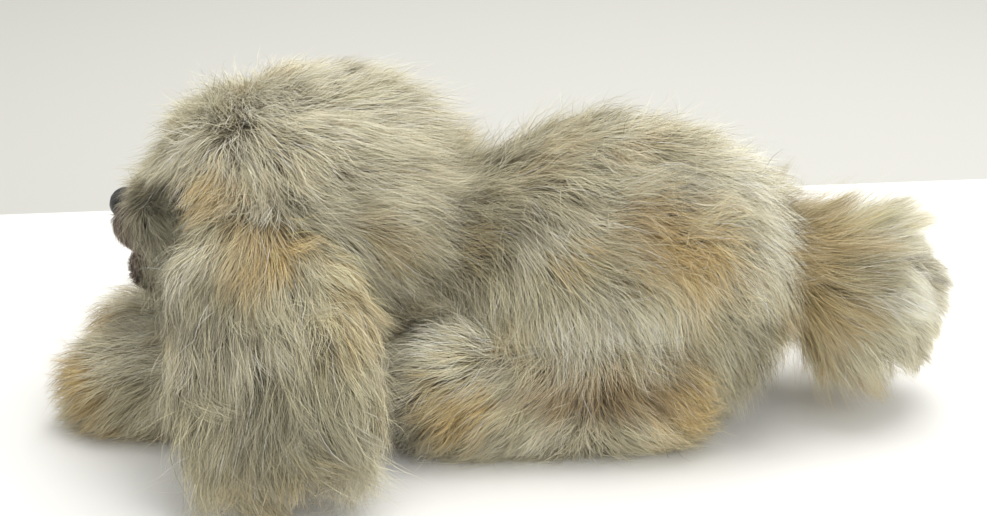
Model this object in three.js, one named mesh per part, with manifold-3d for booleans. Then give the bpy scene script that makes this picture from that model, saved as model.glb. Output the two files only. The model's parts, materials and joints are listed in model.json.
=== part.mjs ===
// A long-haired dog hand puppet with a moving mouth, lying on its belly, in millimetres.
// +Z is up, the head points to -X and the dog's left side to -Y. The origin is on the table
// under the middle of the puppet. The hand goes in under the tail and through the neck: the
// fingers work the upper mouth board and the thumb the lower one.
import * as THREE from "three";
import { mergeVertices } from "three/addons/utils/BufferGeometryUtils.js";
import Module from "manifold-3d";

const wasm = await Module();
wasm.setup();

// ---- Driving dimensions ----

const SEAM = 0.4; // gap between two pieces that touch
const SLACK = 1.5; // gap between two pieces that turn against each other
const FUR = 8; // fur cloth with its pile laid flat
const SHORT_FUR = 5; // fur cloth of the muzzle and chin
const CLOTH = 1.5; // lining cloth
const FELT = 2; // tongue and mouth boards
const FAR = 400; // reaches past the whole puppet

const SKULL = { x: -112, z: 116, length: 62, width: 56, height: 56 }; // half sizes
const NECK = { x: -62, z: 88, radius: 40 };
const MOUTH = { x: -150, z: 88, halfWidth: 24, front: -196 }; // fold line, half width and lip
// Each layer of the mouth: its underside over the fold line, and how far its lip is behind it.
const LAYER = {
  upperBoard: { low: 3.5, thickness: FELT, back: 0 },
  palate: { low: 1.6, thickness: CLOTH, back: -2 },
  tongue: { low: -0.8, thickness: FELT, back: 10 },
  floor: { low: -2.7, thickness: CLOTH, back: 1 },
  lowerBoard: { low: -5, thickness: FELT, back: 3 },
};
const MOUTH_HALF = { upper: 6, lower: -5.4 }; // cut faces of the muzzle and the chin over the fold line
const JAW_ROOM = { behind: 11, over: 1.2 }; // how far the room for the jaw reaches past the fold line
const TONGUE_WIDTH = 12; // half width
// stem and washer are how far the stem and its washer lie behind the eye and the nose.
const EYE = { x: -160, z: 126, radius: 8, dome: 5, flange: 2, washer: 11, stem: 13 };
const NOSE = { x: -198, z: 111, length: 8, width: 11, height: 8, washer: 11, stem: 16 };
const STEM = 2.2; // radius of both stems
const WASHER = { radius: 7, bore: 2.8, thickness: 1.5 };
// A leg swings about an upright seam and is sewn on just behind it.
const FORELEG = { x: -50, y: -26, radius: 20, height: 44, sewn: -42 };
const HIND_LEG = { x: 84, y: -60, radius: 17, height: 66, sewn: 92 };
const TAIL = { x: 135, z: 76, radius: 17, sewn: 130 };
const OPENING = { inside: 117, outside: 130, hem: 5 }; // rear edges of the lining and of its hem
const BELLY_SEAM = 12; // height of the seam between the belly and the back
const TRUNK_ENDS = 0.36; // how blunt the ends of the trunk are
const TUBE = 2.6; // how square the sleeve and the pockets are

// Stations of the soft forms: [x, y, z, half width, half thickness].
const TRUNK = [
  [-64, 0, 42, 36, 40],
  [-30, 0, 56, 50, 60],
  [10, 0, 65, 55, 73],
  [52, 0, 69, 56, 79],
  [96, 0, 68, 54, 74],
  [136, 0, 62, 45, 56],
];
const SLEEVE = [
  [200, 0, 30, 33, 19],
  [160, 0, 31, 33, 19],
  [118, 0, 34, 33, 19.5],
  [76, 0, 42, 33, 22],
  [30, 0, 58, 32, 24],
  [-14, 0, 78, 30, 24],
  [-48, 0, 88, 29, 23],
  [-84, 0, 88, 29, 23],
];
const BORE = [
  [4, 0, 88, 29, 23],
  [-40, 0, 88, 29, 23],
  [-84, 0, 88, 29, 23],
  [-128, 0, 88, 29, 23],
];
const HAND = [
  [-60, 0, 88, 29, 23],
  [-84, 0, 89, 29, 23],
  [-112, 0, 93, 29, 22],
  [-139, 0, 96, 26, 17],
];
const FINGERS = [
  [-179, 0, 106, 20, 8],
  [-160, 0, 106, 22, 9],
  [-136, 0, 106, 24, 10],
  [-108, 0, 106, 25, 10],
];
const THUMB = [
  [-188, 0, 76.5, 11, 4.5],
  [-174, 0, 76.5, 13, 5],
  [-158, 0, 76.5, 14, 5],
  [-136, 0, 76.5, 14, 5],
];
const FINGERS_OPEN = { x: -118, bottom: 20 }; // rear edge of the pocket; half width of its flat bottom
const THROAT = { behind: 10, ahead: 30, halfWidth: 14, low: -17, high: -6 }; // the thumb's way in
const MUZZLE = [
  [-202, 0, 105, 23, 15],
  [-188, 0, 105, 27, 17.5],
  [-170, 0, 106, 31, 19],
  [-146, 0, 108, 35, 21],
];
const CHIN = [
  [-196, 0, 79, 20, 11],
  [-182, 0, 78, 24, 13],
  [-164, 0, 77, 26, 13],
  [-142, 0, 77, 27, 13],
];
const FORELEG_FORM = [
  [-34, -26, 22, 17, 20],
  [-80, -26, 23, 17, 22],
  [-130, -27, 24, 18, 23],
  [-182, -29, 24, 21, 23],
  [-220, -30, 22, 17, 20],
];
const HIND_LEG_FORM = [
  [104, -57, 38, 10, 20],
  [68, -60, 35, 14, 30],
  [28, -60, 31, 13, 27],
  [-8, -60, 34, 14, 31],
  [-34, -60, 34, 16, 33],
  [-52, -60, 29, 14, 26],
];
const TAIL_FORM = [
  [122, 0, 76, 11, 12],
  [144, 0, 76, 12.5, 15],
  [168, 0, 70, 18, 24],
  [192, 0, 62, 24, 30],
  [220, 0, 55, 20, 25],
];
const EAR_LINING = { y: 6, z: -4.5, narrower: 2 }; // it lies on the ear's inner side
const EAR_FORM = [
  [-124, -53, 129, 20, 5],
  [-122, -66, 120, 31, 6.5],
  [-118, -84, 101, 42, 6.5],
  [-113, -102, 76, 48, 6.5],
  [-110, -116, 50, 46, 6.5],
  [-108, -124, 30, 36, 5.5],
];

const pile = (color) => new THREE.MeshStandardMaterial({ color, roughness: 0.95 });
const MATERIAL = {
  longFur: pile(0xb9b1a2),
  tanFur: pile(0xb39a74),
  shortFur: pile(0x6e5f52),
  earCloth: pile(0xc9bfae),
  lining: pile(0x4a4038),
  felt: pile(0x8a4f4c),
  stuffing: pile(0xe9e6df),
  board: new THREE.MeshStandardMaterial({ color: 0x8c7a5e, roughness: 0.85 }),
  moulded: new THREE.MeshStandardMaterial({ color: 0x141211, roughness: 0.35 }),
  glassy: new THREE.MeshStandardMaterial({ color: 0x1c110a, roughness: 0.08 }),
  washer: new THREE.MeshStandardMaterial({ color: 0xd8d8d4, roughness: 0.5 }),
};

// ---- Solids ----

const point = (x, y, z) => new THREE.Vector3(x, y, z);

// A closed three.js geometry as a solid that can be joined and cut.
function solid(geometry) {
  const bare = geometry.clone();
  bare.deleteAttribute("normal");
  bare.deleteAttribute("uv");
  const merged = mergeVertices(bare, 1e-3);
  return new wasm.Manifold(
    new wasm.Mesh({
      numProp: 3,
      vertProperties: merged.attributes.position.array,
      triVerts: new Uint32Array(merged.index.array),
    }),
  );
}

function box(low, high) {
  const size = high.map((value, i) => value - low[i]);
  const middle = high.map((value, i) => (value + low[i]) / 2);
  return solid(new THREE.BoxGeometry(...size).translate(...middle));
}

// Everything above, below, ahead of or behind a plane, as a box that reaches past the puppet.
const above = (z) => box([-FAR, -FAR, z], [FAR, FAR, FAR]);
const below = (z) => box([-FAR, -FAR, -FAR], [FAR, FAR, z]);
const ahead = (x) => box([-FAR, -FAR, -FAR], [x, FAR, FAR]);
const behind = (x) => box([x, -FAR, -FAR], [FAR, FAR, FAR]);

function ellipsoid({ x, y = 0, z, length, width, height }, grow = 0, sides = 18, rings = 10) {
  return solid(
    new THREE.SphereGeometry(1, sides, rings)
      .scale(length + grow, width + grow, height + grow)
      .translate(x, y, z),
  );
}

const ball = ({ x, z, radius }, grow, sides) =>
  ellipsoid({ x, z, length: radius, width: radius, height: radius }, grow, sides, sides / 2);

// An upright cylinder round a leg's seam, from just under the table.
function post({ x, y, radius, height }) {
  const length = height + SEAM;
  const geometry = new THREE.CylinderGeometry(radius, radius, length, 14);
  return solid(geometry.rotateX(Math.PI / 2).translate(x, y, height - length / 2));
}

// A closed form through stations, swept from a ball: the ball's rings become the sections.
// blunt under 1 flattens the two ends, and square over 2 gives the sections flatter sides.
function loft(stations, { wide = point(0, 1, 0), blunt = 0.5, square = 2, sides = 12, rings = 8 } = {}) {
  const path = new THREE.CatmullRomCurve3(stations.map(([x, y, z]) => point(x, y, z)));
  const sizes = new THREE.CatmullRomCurve3(stations.map(([, , , w, h], i) => point(i, w, h)));
  const geometry = new THREE.SphereGeometry(1, sides, rings);
  const place = geometry.attributes.position;
  for (let i = 0; i < place.count; i++) {
    const along = Math.min(1, Math.max(0, (1 - place.getY(i)) / 2));
    const radius = Math.hypot(place.getX(i), place.getZ(i));
    const angle = Math.atan2(place.getZ(i), place.getX(i));
    const [across, up] = [Math.cos(angle), Math.sin(angle)];
    const section = (Math.abs(across) ** square + Math.abs(up) ** square) ** (-1 / square);
    const reach = radius ** blunt * section;
    const size = sizes.getPoint(along);
    const thick = path.getTangent(along).cross(wide).normalize();
    const at = path
      .getPoint(along)
      .addScaledVector(wide, across * reach * size.y)
      .addScaledVector(thick, up * reach * size.z);
    place.setXYZ(i, at.x, at.y, at.z);
  }
  return solid(geometry);
}

// The same stations with every wall moved in by depth, or out where depth is negative. The first
// end moves in by its own amount.
function inset(stations, depth, firstEnd = depth) {
  const last = stations.length - 1;
  const points = stations.map(([x, y, z]) => point(x, y, z));
  const inward = (from, to, distance) =>
    points[to].clone().sub(points[from]).normalize().multiplyScalar(distance);
  return stations.map(([x, y, z, w, h], i) => {
    const shift = point(0, 0, 0);
    if (i === 0) shift.copy(inward(0, 1, firstEnd));
    if (i === last) shift.copy(inward(last, last - 1, depth));
    return [x + shift.x, y + shift.y, z + shift.z, w - depth, h - depth];
  });
}

// A solid of revolution whose profile [radius, height] starts and ends on the axis,
// set at a place with its own axis turned to point outwards.
function turned(profile, place, outwards) {
  const geometry = new THREE.LatheGeometry(profile.map(([r, h]) => new THREE.Vector2(r, h)), 12);
  const turn = new THREE.Quaternion().setFromUnitVectors(point(0, 1, 0), outwards);
  return solid(geometry.applyQuaternion(turn).translate(place.x, place.y, place.z));
}

// The profile of a plain round bar between two heights.
const bar = (radius, low, high) => [[0, low], [radius, low], [radius, high], [0, high]];

const bore = bar(WASHER.bore, -FAR, FAR);

const mirrored = (shape) => shape.mirror([0, 1, 0]);

const withMirror = (shape) => shape.add(mirrored(shape));

// The left half of a shape and its mirror image, so that it fits the mirrored pieces round it.
const symmetric = (shape) => withMirror(shape.intersect(box([-FAR, -FAR, -FAR], [FAR, 0, FAR])));

// The biggest of the bodies that a cut leaves, without its slivers.
function largest(shape) {
  const bodies = shape.decompose();
  return bodies.reduce((best, body) => (body.volume() > best.volume() ? body : best));
}

// ---- The puppet, filled piece by piece ----

const puppet = new THREE.Group();

function add(name, shape, material, isMirrored = false) {
  const { vertProperties, triVerts } = shape.getMesh();
  const geometry = new THREE.BufferGeometry()
    .setAttribute("position", new THREE.BufferAttribute(vertProperties, 3))
    .setIndex(new THREE.BufferAttribute(triVerts, 1));
  geometry.computeVertexNormals();
  const mesh = new THREE.Mesh(geometry, material);
  mesh.name = name;
  if (isMirrored) mesh.scale.y = -1;
  puppet.add(mesh);
}

// A piece of the left side, and its mirror image on the right.
function addPair(name, shape, material) {
  add(`${name}_left`, shape, material);
  add(`${name}_right`, shape, material, true);
}

// ---- Trunk ----

const sleeve = (grow) => loft(inset(SLEEVE, -grow), { square: TUBE });

// Everything under the line along the middle of the sleeve, where its two linings are sewn.
function underSleeve(raise) {
  const line = SLEEVE.map(([x, , z]) => new THREE.Vector2(x, z + raise));
  const start = line[0].y;
  const end = line.at(-1).y;
  const corners = [[-FAR, end], [-FAR, -FAR], [FAR, -FAR], [FAR, start]];
  const outline = new THREE.Shape([...corners.map(([x, z]) => new THREE.Vector2(x, z)), ...line]);
  const slab = new THREE.ExtrudeGeometry(outline, { depth: 2 * FAR, bevelEnabled: false });
  return solid(slab.rotateX(Math.PI / 2).translate(0, FAR, 0));
}

// Room in the trunk for the neck ball and for the roots of the legs and the tail.
function roots() {
  const foreleg = post(FORELEG).add(loft(inset(FORELEG_FORM, -SLACK)));
  const hindLeg = post(HIND_LEG).add(loft(inset(HIND_LEG_FORM, -SLACK)));
  const tail = ball(TAIL, SLACK, 12).add(loft(inset(TAIL_FORM, -SLACK)));
  return withMirror(foreleg.add(hindLeg)).add(ball(NECK, SLACK, 16)).add(tail);
}

function trunk() {
  const room = roots();
  const hemForm = (grow) => loft(inset(SLEEVE, -OPENING.hem - grow), { square: TUBE });
  const opening = hemForm(SEAM).intersect(behind(OPENING.inside));
  const form = (depth) => loft(inset(TRUNK, depth), { blunt: TRUNK_ENDS, sides: 14, rings: 10 });

  const outside = loft(TRUNK, { blunt: TRUNK_ENDS, sides: 20, rings: 12 }).intersect(above(0));
  const skin = outside
    .subtract(form(FUR).intersect(above(FUR)))
    .subtract(room)
    .subtract(opening)
    .subtract(sleeve(CLOTH + SEAM));
  const leftHalf = box([-FAR, -FAR, BELLY_SEAM], [FAR, -SEAM / 2, FAR]);
  addPair("back_panel", largest(skin.intersect(leftHalf)), MATERIAL.longFur);
  add("belly_panel", largest(skin.intersect(below(BELLY_SEAM - SEAM))), MATERIAL.tanFur);

  const padding = form(FUR + SEAM)
    .intersect(above(FUR + SEAM))
    .subtract(room)
    .subtract(opening)
    .subtract(sleeve(CLOTH + 2 * SEAM));
  add("back_stuffing", largest(symmetric(padding)), MATERIAL.stuffing);

  const tube = sleeve(CLOTH).subtract(sleeve(0)).intersect(ahead(OPENING.inside)).subtract(room);
  add("sleeve_lining_upper", largest(tube.subtract(underSleeve(SEAM))), MATERIAL.lining);
  add("sleeve_lining_lower", largest(tube.intersect(underSleeve(0))), MATERIAL.lining);
  const hemBand = behind(OPENING.inside + SEAM).intersect(ahead(OPENING.outside));
  const hem = hemForm(0).intersect(hemBand).subtract(sleeve(0)).subtract(room);
  add("opening_hem", largest(hem), MATERIAL.lining);
}

function neck() {
  const bore = (grow) => loft(inset(BORE, -grow), { square: TUBE });
  add("neck_fur", ball(NECK, 0, 16).subtract(bore(CLOTH + SEAM)), MATERIAL.longFur);
  const tube = bore(CLOTH).subtract(bore(0));
  add("neck_lining", largest(tube.intersect(ball(NECK, -1, 16))), MATERIAL.lining);
}

// ---- Head ----

// The eye and the direction it looks in, square to the skull.
function eyePlace() {
  const dx = EYE.x - SKULL.x;
  const dz = EYE.z - SKULL.z;
  const rest = 1 - (dx / SKULL.length) ** 2 - (dz / SKULL.height) ** 2;
  const place = point(EYE.x, -SKULL.width * Math.sqrt(rest), EYE.z);
  const outwards = point(dx / SKULL.length ** 2, place.y / SKULL.width ** 2, dz / SKULL.height ** 2);
  return { place, outwards: outwards.normalize() };
}

// A moulded eye: a dome on a flange, with a stem that goes through the fur and its washer.
function eyeProfile(grow) {
  const radius = EYE.radius + grow;
  const dome = EYE.dome + grow;
  const stem = STEM + grow;
  const end = -EYE.stem - grow;
  const flange = -EYE.flange - grow;
  const profile = [[0, end], [stem, end], [stem, flange], [radius, flange]];
  for (let i = 0; i < 5; i++) {
    const angle = (i * Math.PI) / 10;
    profile.push([radius * Math.cos(angle), dome * Math.sin(angle)]);
  }
  profile.push([0, dome]);
  return profile;
}

function washerProfile(low, grow) {
  return bar(WASHER.radius + grow, low - grow, low + WASHER.thickness + grow);
}

// A piece on the axis of the nose, which runs back from it.
const onNose = (profile) => turned(profile, point(NOSE.x, 0, NOSE.z), point(1, 0, 0));

const noseStem = (grow) => onNose(bar(STEM + grow, 0, NOSE.stem + grow));

const noseSolid = (grow) => ellipsoid(NOSE, grow, 14, 8).add(noseStem(grow));

const noseWasher = (grow) => onNose(washerProfile(NOSE.washer, grow));

const fingers = (grow) => loft(inset(FINGERS, -grow), { square: TUBE });

// The room of the finger pocket, with nothing between its bottom and the upper mouth board.
function fingerRoom() {
  const [tip] = FINGERS;
  const low = [tip[0] + FUR, -FINGERS_OPEN.bottom, MOUTH.z];
  const high = [MOUTH.x, FINGERS_OPEN.bottom, tip[2]];
  return fingers(CLOTH + SEAM).add(box(low, high));
}

// The room for the nose and the fingers in the muzzle, and the cut along its face of the mouth.
function muzzle(form, nose) {
  return form
    .intersect(above(MOUTH.z + MOUTH_HALF.upper))
    .subtract(ellipsoid(SKULL, SEAM))
    .subtract(nose)
    .subtract(fingerRoom());
}

function skull({ place, outwards }) {
  const hand = (grow) => loft(inset(HAND, -grow), { square: TUBE });
  const neckRoom = ball(NECK, SLACK, 16);
  const boards = below(MOUTH.z + MOUTH_HALF.upper).intersect(ahead(MOUTH.x));
  const underFold = below(MOUTH.z + JAW_ROOM.over).intersect(ahead(MOUTH.x + JAW_ROOM.behind));
  const throat = box(
    [MOUTH.x - THROAT.behind, -THROAT.halfWidth, MOUTH.z + THROAT.low],
    [MOUTH.x + THROAT.ahead, THROAT.halfWidth, MOUTH.z + THROAT.high],
  );
  const eyes = withMirror(turned(eyeProfile(SEAM), place, outwards));
  const washers = withMirror(turned(washerProfile(-EYE.washer, SEAM), place, outwards));
  const cavity = hand(CLOTH + SEAM).add(fingerRoom()).add(throat);
  const cut = cavity.add(neckRoom).add(boards).add(underFold).add(eyes).add(washers);

  const skin = ellipsoid(SKULL).subtract(ellipsoid(SKULL, -FUR)).subtract(cut);
  const leftHalf = box([-FAR, -FAR, 0], [FAR, -SEAM / 2, FAR]);
  addPair("head_fur", largest(skin.intersect(leftHalf)), MATERIAL.longFur);
  const filling = ellipsoid(SKULL, -FUR - SEAM).subtract(cut);
  add("head_stuffing", largest(symmetric(filling)), MATERIAL.stuffing);
  const lining = hand(CLOTH)
    .subtract(hand(0))
    .subtract(fingers(CLOTH + SEAM))
    .subtract(neckRoom)
    .subtract(throat);
  add("head_lining", largest(lining), MATERIAL.lining);
}

function face() {
  const nose = noseSolid(SEAM).add(noseWasher(SEAM));
  const skin = muzzle(loft(MUZZLE).subtract(loft(inset(MUZZLE, SHORT_FUR))), nose);
  add("muzzle_fur", largest(skin), MATERIAL.shortFur);
  add("muzzle_stuffing", largest(muzzle(loft(inset(MUZZLE, SHORT_FUR + SEAM)), nose)), MATERIAL.stuffing);
  const pocket = fingers(CLOTH).subtract(fingers(0)).intersect(ahead(FINGERS_OPEN.x));
  add("finger_pocket", largest(pocket), MATERIAL.lining);
  add("nose", noseSolid(0), MATERIAL.moulded);
  add("nose_washer", noseWasher(0).subtract(onNose(bore)), MATERIAL.washer);
}

function eyes({ place, outwards }) {
  addPair("eye", turned(eyeProfile(0), place, outwards), MATERIAL.glassy);
  const disc = turned(washerProfile(-EYE.washer, 0), place, outwards);
  addPair("eye_washer", disc.subtract(turned(bore, place, outwards)), MATERIAL.washer);
}

// ---- Mouth ----

const FOLD = MOUTH.x - 0.6;

// A flat board or lining of the mouth: straight sides, a round lip, from the fold line forward.
function mouthSheet({ low, thickness, back }, halfWidth) {
  const outline = new THREE.Shape();
  const middle = MOUTH.front + back + halfWidth;
  outline.moveTo(FOLD, -halfWidth);
  outline.lineTo(FOLD, halfWidth);
  outline.lineTo(middle, halfWidth);
  outline.absarc(middle, 0, halfWidth, Math.PI / 2, (3 * Math.PI) / 2, false);
  const geometry = new THREE.ExtrudeGeometry(outline, {
    depth: thickness,
    bevelEnabled: false,
    curveSegments: 8,
  });
  return solid(geometry.translate(0, 0, MOUTH.z + low));
}

function mouth() {
  const wide = MOUTH.halfWidth;
  add("palate_lining", mouthSheet(LAYER.palate, wide), MATERIAL.felt);
  add("upper_mouth_board", mouthSheet(LAYER.upperBoard, wide - 1), MATERIAL.board);
  add("tongue", mouthSheet(LAYER.tongue, TONGUE_WIDTH), MATERIAL.felt);
  add("mouth_floor_lining", mouthSheet(LAYER.floor, wide), MATERIAL.felt);
  add("lower_mouth_board", mouthSheet(LAYER.lowerBoard, wide - 1), MATERIAL.board);
}

function chin() {
  const under = below(MOUTH.z + MOUTH_HALF.lower).intersect(ahead(FOLD));
  const thumb = (grow) => loft(inset(THUMB, -grow), { square: TUBE, sides: 10, rings: 6 });
  const form = (depth) => loft(inset(CHIN, depth)).intersect(under);
  const skin = form(0).subtract(form(SHORT_FUR)).subtract(thumb(CLOTH + SEAM));
  add("chin_fur", largest(skin), MATERIAL.shortFur);
  const filling = form(SHORT_FUR + SEAM).subtract(thumb(CLOTH + SEAM));
  add("chin_stuffing", largest(filling), MATERIAL.stuffing);
  const pocket = thumb(CLOTH).subtract(thumb(0)).intersect(ahead(FOLD));
  add("thumb_pocket", largest(pocket), MATERIAL.lining);
}

// ---- Ears and limbs ----

// An ear is a leaf of long fur sewn to a thinner leaf of lining on its inner side.
function ears() {
  const leaf = (form) => loft(form, { wide: point(1, 0, 0), blunt: 0.6 });
  const lined = (grow) =>
    EAR_FORM.map(([x, y, z, w, h]) => [
      x,
      y + EAR_LINING.y - grow,
      z + EAR_LINING.z + grow,
      w - EAR_LINING.narrower + grow,
      h + grow,
    ]);
  const whole = leaf(EAR_FORM).subtract(ellipsoid(SKULL, SLACK));
  addPair("ear_fur", largest(whole.subtract(leaf(lined(SEAM)))), MATERIAL.longFur);
  addPair("ear_lining", largest(whole.intersect(leaf(lined(0)))), MATERIAL.earCloth);
}

// A limb of fur cloth round its stuffing, open where it is sewn on: the part of it on the
// other side of the seam's plane is cut off.
function limb(stations, keep) {
  const hollow = (depth) => loft(inset(stations, depth, -FUR), { sides: 8 });
  return {
    fur: loft(stations).intersect(keep).subtract(hollow(FUR)),
    stuffing: hollow(FUR + SEAM).intersect(keep),
  };
}

function limbs() {
  const foreleg = limb(FORELEG_FORM, ahead(FORELEG.sewn));
  addPair("foreleg_fur", foreleg.fur, MATERIAL.tanFur);
  addPair("foreleg_stuffing", foreleg.stuffing, MATERIAL.stuffing);
  const hindLeg = limb(HIND_LEG_FORM, ahead(HIND_LEG.sewn));
  addPair("hind_leg_fur", hindLeg.fur, MATERIAL.longFur);
  addPair("hind_leg_stuffing", hindLeg.stuffing, MATERIAL.stuffing);
  const tail = limb(TAIL_FORM, behind(TAIL.sewn));
  add("tail_fur", tail.fur, MATERIAL.tanFur);
  add("tail_stuffing", tail.stuffing, MATERIAL.stuffing);
}

trunk();
neck();
skull(eyePlace());
face();
eyes(eyePlace());
mouth();
chin();
ears();
limbs();

export default puppet;
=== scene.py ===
"""The looks of a long-haired dog hand puppet: smooth fur cloth made from the frame's solids, hair
grown on it strand by strand, and the nose, eyes, mouth, linings and stuffing. Metres, +Z up, with
the head towards -X and the dog's left side towards -Y."""

import json
import math
from dataclasses import dataclass
from typing import Callable

import bpy
import numpy as np
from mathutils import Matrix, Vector
from mathutils.bvhtree import BVHTree
from mathutils.kdtree import KDTree

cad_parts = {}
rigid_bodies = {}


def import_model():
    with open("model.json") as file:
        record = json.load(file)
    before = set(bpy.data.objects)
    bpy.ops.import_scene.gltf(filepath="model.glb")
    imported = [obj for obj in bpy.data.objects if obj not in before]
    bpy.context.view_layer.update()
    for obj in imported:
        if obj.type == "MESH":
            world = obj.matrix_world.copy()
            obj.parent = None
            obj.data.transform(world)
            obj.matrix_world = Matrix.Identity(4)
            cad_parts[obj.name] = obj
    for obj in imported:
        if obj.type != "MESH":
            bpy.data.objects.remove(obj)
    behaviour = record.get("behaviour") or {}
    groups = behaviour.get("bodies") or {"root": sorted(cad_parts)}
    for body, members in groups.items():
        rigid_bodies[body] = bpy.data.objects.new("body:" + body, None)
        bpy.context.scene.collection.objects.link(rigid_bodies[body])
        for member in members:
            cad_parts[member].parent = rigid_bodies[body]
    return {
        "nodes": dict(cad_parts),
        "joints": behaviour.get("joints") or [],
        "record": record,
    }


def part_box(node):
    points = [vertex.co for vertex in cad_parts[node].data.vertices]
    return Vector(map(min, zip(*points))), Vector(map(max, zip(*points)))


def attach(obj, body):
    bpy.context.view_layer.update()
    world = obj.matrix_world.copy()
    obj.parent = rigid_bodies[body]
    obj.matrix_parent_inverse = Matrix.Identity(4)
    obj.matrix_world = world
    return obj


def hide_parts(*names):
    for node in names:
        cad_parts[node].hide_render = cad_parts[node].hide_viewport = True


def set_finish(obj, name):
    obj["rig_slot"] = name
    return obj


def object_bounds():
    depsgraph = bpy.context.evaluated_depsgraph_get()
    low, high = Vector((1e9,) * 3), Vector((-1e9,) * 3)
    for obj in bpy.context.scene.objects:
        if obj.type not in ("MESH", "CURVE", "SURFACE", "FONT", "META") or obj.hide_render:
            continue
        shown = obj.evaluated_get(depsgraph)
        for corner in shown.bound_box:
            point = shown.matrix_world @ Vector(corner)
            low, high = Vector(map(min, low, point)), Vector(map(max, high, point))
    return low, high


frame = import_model()
cad_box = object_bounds()

NODES = frame["nodes"]
BODY_OF = {n: body for body, names in frame["record"]["behaviour"]["bodies"].items() for n in names}
SLOT_OF = {part["node"]: part["material_slot"] for part in frame["record"]["subparts"]}
PIVOT = {joint["name"]: np.array(joint["pos_m"]) for joint in frame["joints"]}
MM = 0.001
LEFT, RIGHT = -1, 1
SIDE_NAME = {LEFT: "left", RIGHT: "right"}

# ---- Camera, lights and floor ----

VIEW_ELEVATION = math.radians(22)
VIEW_DISTANCE = 0.9
VIEW_TARGET = Vector((-0.007, 0, 0.080))
VIEW_LENS = 62.5
TABLE_EDGE = 0.315  # how far behind the puppet the table ends
TABLE_SKEW = 0.106  # how much further back it ends for each metre to the right


def make_camera():
    data = bpy.data.cameras.new("camera")
    data.lens = VIEW_LENS
    data.sensor_width = 36
    camera = bpy.data.objects.new("camera", data)
    bpy.context.scene.collection.objects.link(camera)
    back = Vector((0, -math.cos(VIEW_ELEVATION), math.sin(VIEW_ELEVATION)))
    camera.location = VIEW_TARGET + back * VIEW_DISTANCE
    camera.rotation_mode = "QUATERNION"
    camera.rotation_quaternion = (-back).to_track_quat("-Z", "Y")
    bpy.context.scene.camera = camera


def area_light(name, place, size, power, aim=(0, 0, 0.05), color=(1, 1, 1)):
    data = bpy.data.lights.new(name, "AREA")
    data.size = size
    data.energy = power
    data.color = color
    light = bpy.data.objects.new(name, data)
    light.location = place
    light.rotation_euler = (Vector(aim) - Vector(place)).to_track_quat("-Z", "Y").to_euler()
    bpy.context.scene.collection.objects.link(light)


def make_lights():
    area_light("ceiling_light", (0.3, 0.35, 1.5), 1.3, 20, color=(1, 0.985, 0.96))
    area_light("window_light", (0.9, -1.0, 0.9), 0.9, 6, color=(0.97, 0.985, 1))
    world = bpy.data.worlds.new("room")
    world.use_nodes = True
    background = world.node_tree.nodes["Background"]
    background.inputs["Color"].default_value = (0.90, 0.90, 0.87, 1)
    background.inputs["Strength"].default_value = 0.75
    bpy.context.scene.world = world


def make_floor():
    mesh = bpy.data.meshes.new("floor")
    reach = 6
    corners = [(-reach, -reach, 0), (reach, -reach, 0), (reach, reach, 0), (-reach, reach, 0)]
    mesh.from_pydata(corners, [], [(0, 1, 2, 3)])
    floor = bpy.data.objects.new("floor", mesh)
    bpy.context.scene.collection.objects.link(floor)
    look = Look("floor", roughness=0.6)
    place = look.node("ShaderNodeSeparateXYZ", Vector=look.coordinates("Object"))
    line = look.maths("MULTIPLY_ADD", place.outputs["X"], TABLE_SKEW, TABLE_EDGE)
    beyond = look.maths("GREATER_THAN", place.outputs["Y"], line)
    look.base_color(look.mix(beyond, (0.95, 0.945, 0.925), (0.60, 0.595, 0.565)))
    mesh.materials.append(look.material)


# ---- Materials ----


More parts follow.
